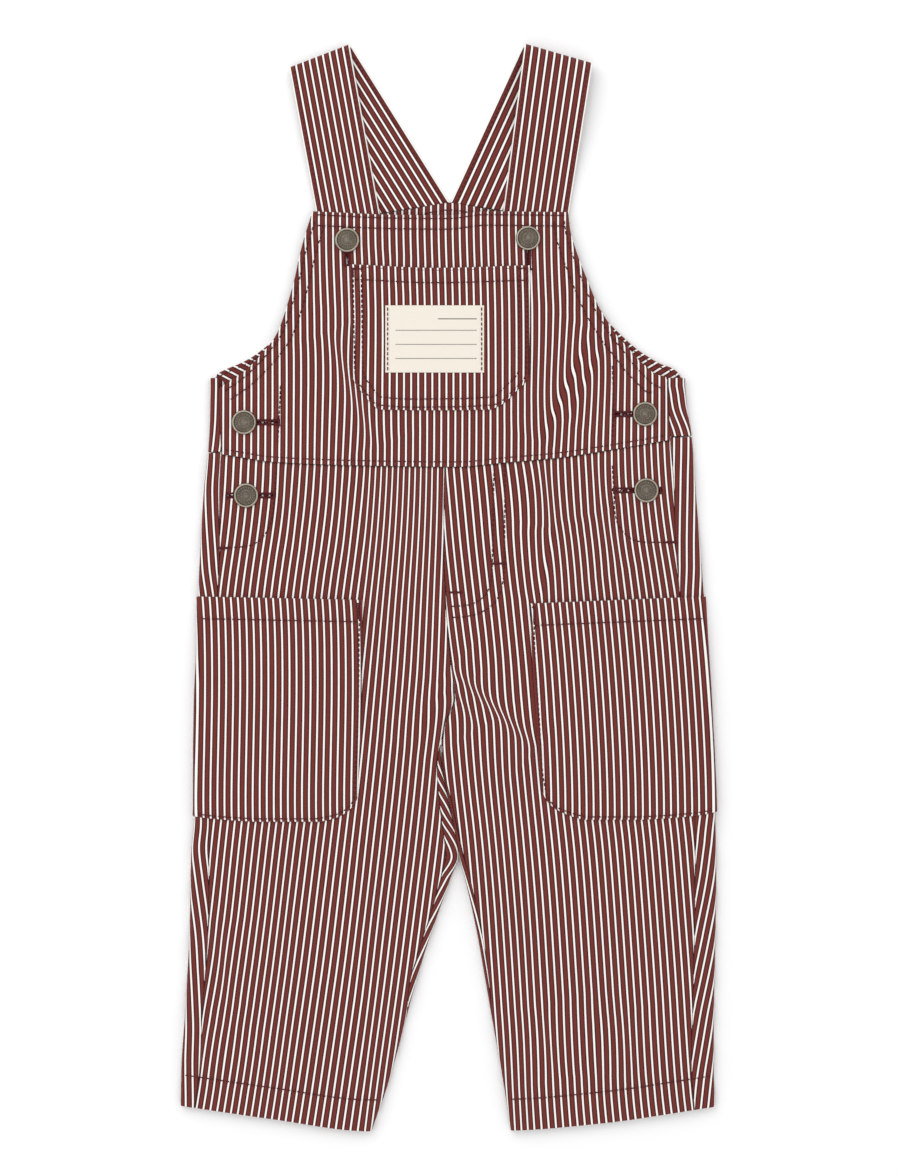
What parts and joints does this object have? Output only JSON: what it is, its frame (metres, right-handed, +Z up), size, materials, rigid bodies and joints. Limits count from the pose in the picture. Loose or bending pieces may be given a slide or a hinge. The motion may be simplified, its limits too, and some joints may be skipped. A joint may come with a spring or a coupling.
{
  "type": "child's dungarees",
  "caption": "Child's dungarees in fine striped twill, laid flat: buttoned bib with patch pocket, folded shoulder straps, side openings and large side pockets.",
  "frame": {"origin": "middle of the garment's outline, on the surface it lies on", "axes": "+Z up out of the front of the cloth; +Y from the hems towards the shoulder straps; +X towards the viewer's right of the garment seen from the front"},
  "size_m": [0.3056, 0.6187, 0.009],
  "materials": {
    "striped_twill": "matt yarn-dyed cotton twill, narrow white stripes on burgundy",
    "woven_label": "matt woven cotton, cream",
    "antique_nickel": "aged nickel plating, darker in the recesses"
  },
  "bodies": {
    "root": {"armhole_facing_left": "striped_twill", "armhole_facing_right": "striped_twill", "back_bib": "striped_twill", "back_leg_left": "striped_twill", "back_leg_right": "striped_twill", "bib_pocket": "striped_twill", "front_bib": "striped_twill", "front_leg_left": "striped_twill", "front_leg_right": "striped_twill", "side_placket_left": "striped_twill", "side_placket_right": "striped_twill", "side_pocket_left": "striped_twill", "side_pocket_right": "striped_twill", "strap_left": "striped_twill", "strap_right": "striped_twill", "label": "woven_label", "button_bib_left": "antique_nickel", "button_bib_right": "antique_nickel", "button_side_lower_left": "antique_nickel", "button_side_lower_right": "antique_nickel", "button_side_upper_left": "antique_nickel", "button_side_upper_right": "antique_nickel"}
  },
  "joints": []
}
